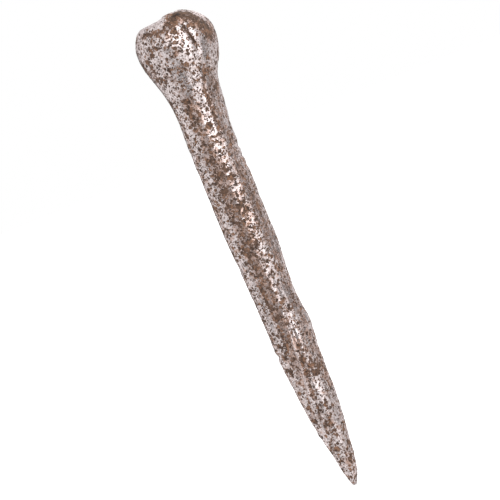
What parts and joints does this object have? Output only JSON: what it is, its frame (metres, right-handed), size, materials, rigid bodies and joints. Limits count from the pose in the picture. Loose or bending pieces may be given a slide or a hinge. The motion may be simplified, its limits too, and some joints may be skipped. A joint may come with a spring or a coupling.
{
  "type": "rail spike",
  "caption": "Forged rail spike with a lipped, two-lobed head, a worn square shank and a four-sided point, for holding a rail's foot down to a wooden tie.",
  "frame": {"origin": "on the shank's axis, at the level where the underside of the lip meets the shank's front flat", "axes": "+Z along the shank from the point to the head, +Y the way the lip points, over the rail's foot, +X toward the head's right ear seen from behind"},
  "size_m": [0.0256, 0.0288, 0.1719],
  "materials": {
    "rusted_steel": "bright silver metal, spattered all over with matt brown rust flecks"
  },
  "bodies": {
    "root": {"spike": "rusted_steel"}
  },
  "joints": []
}
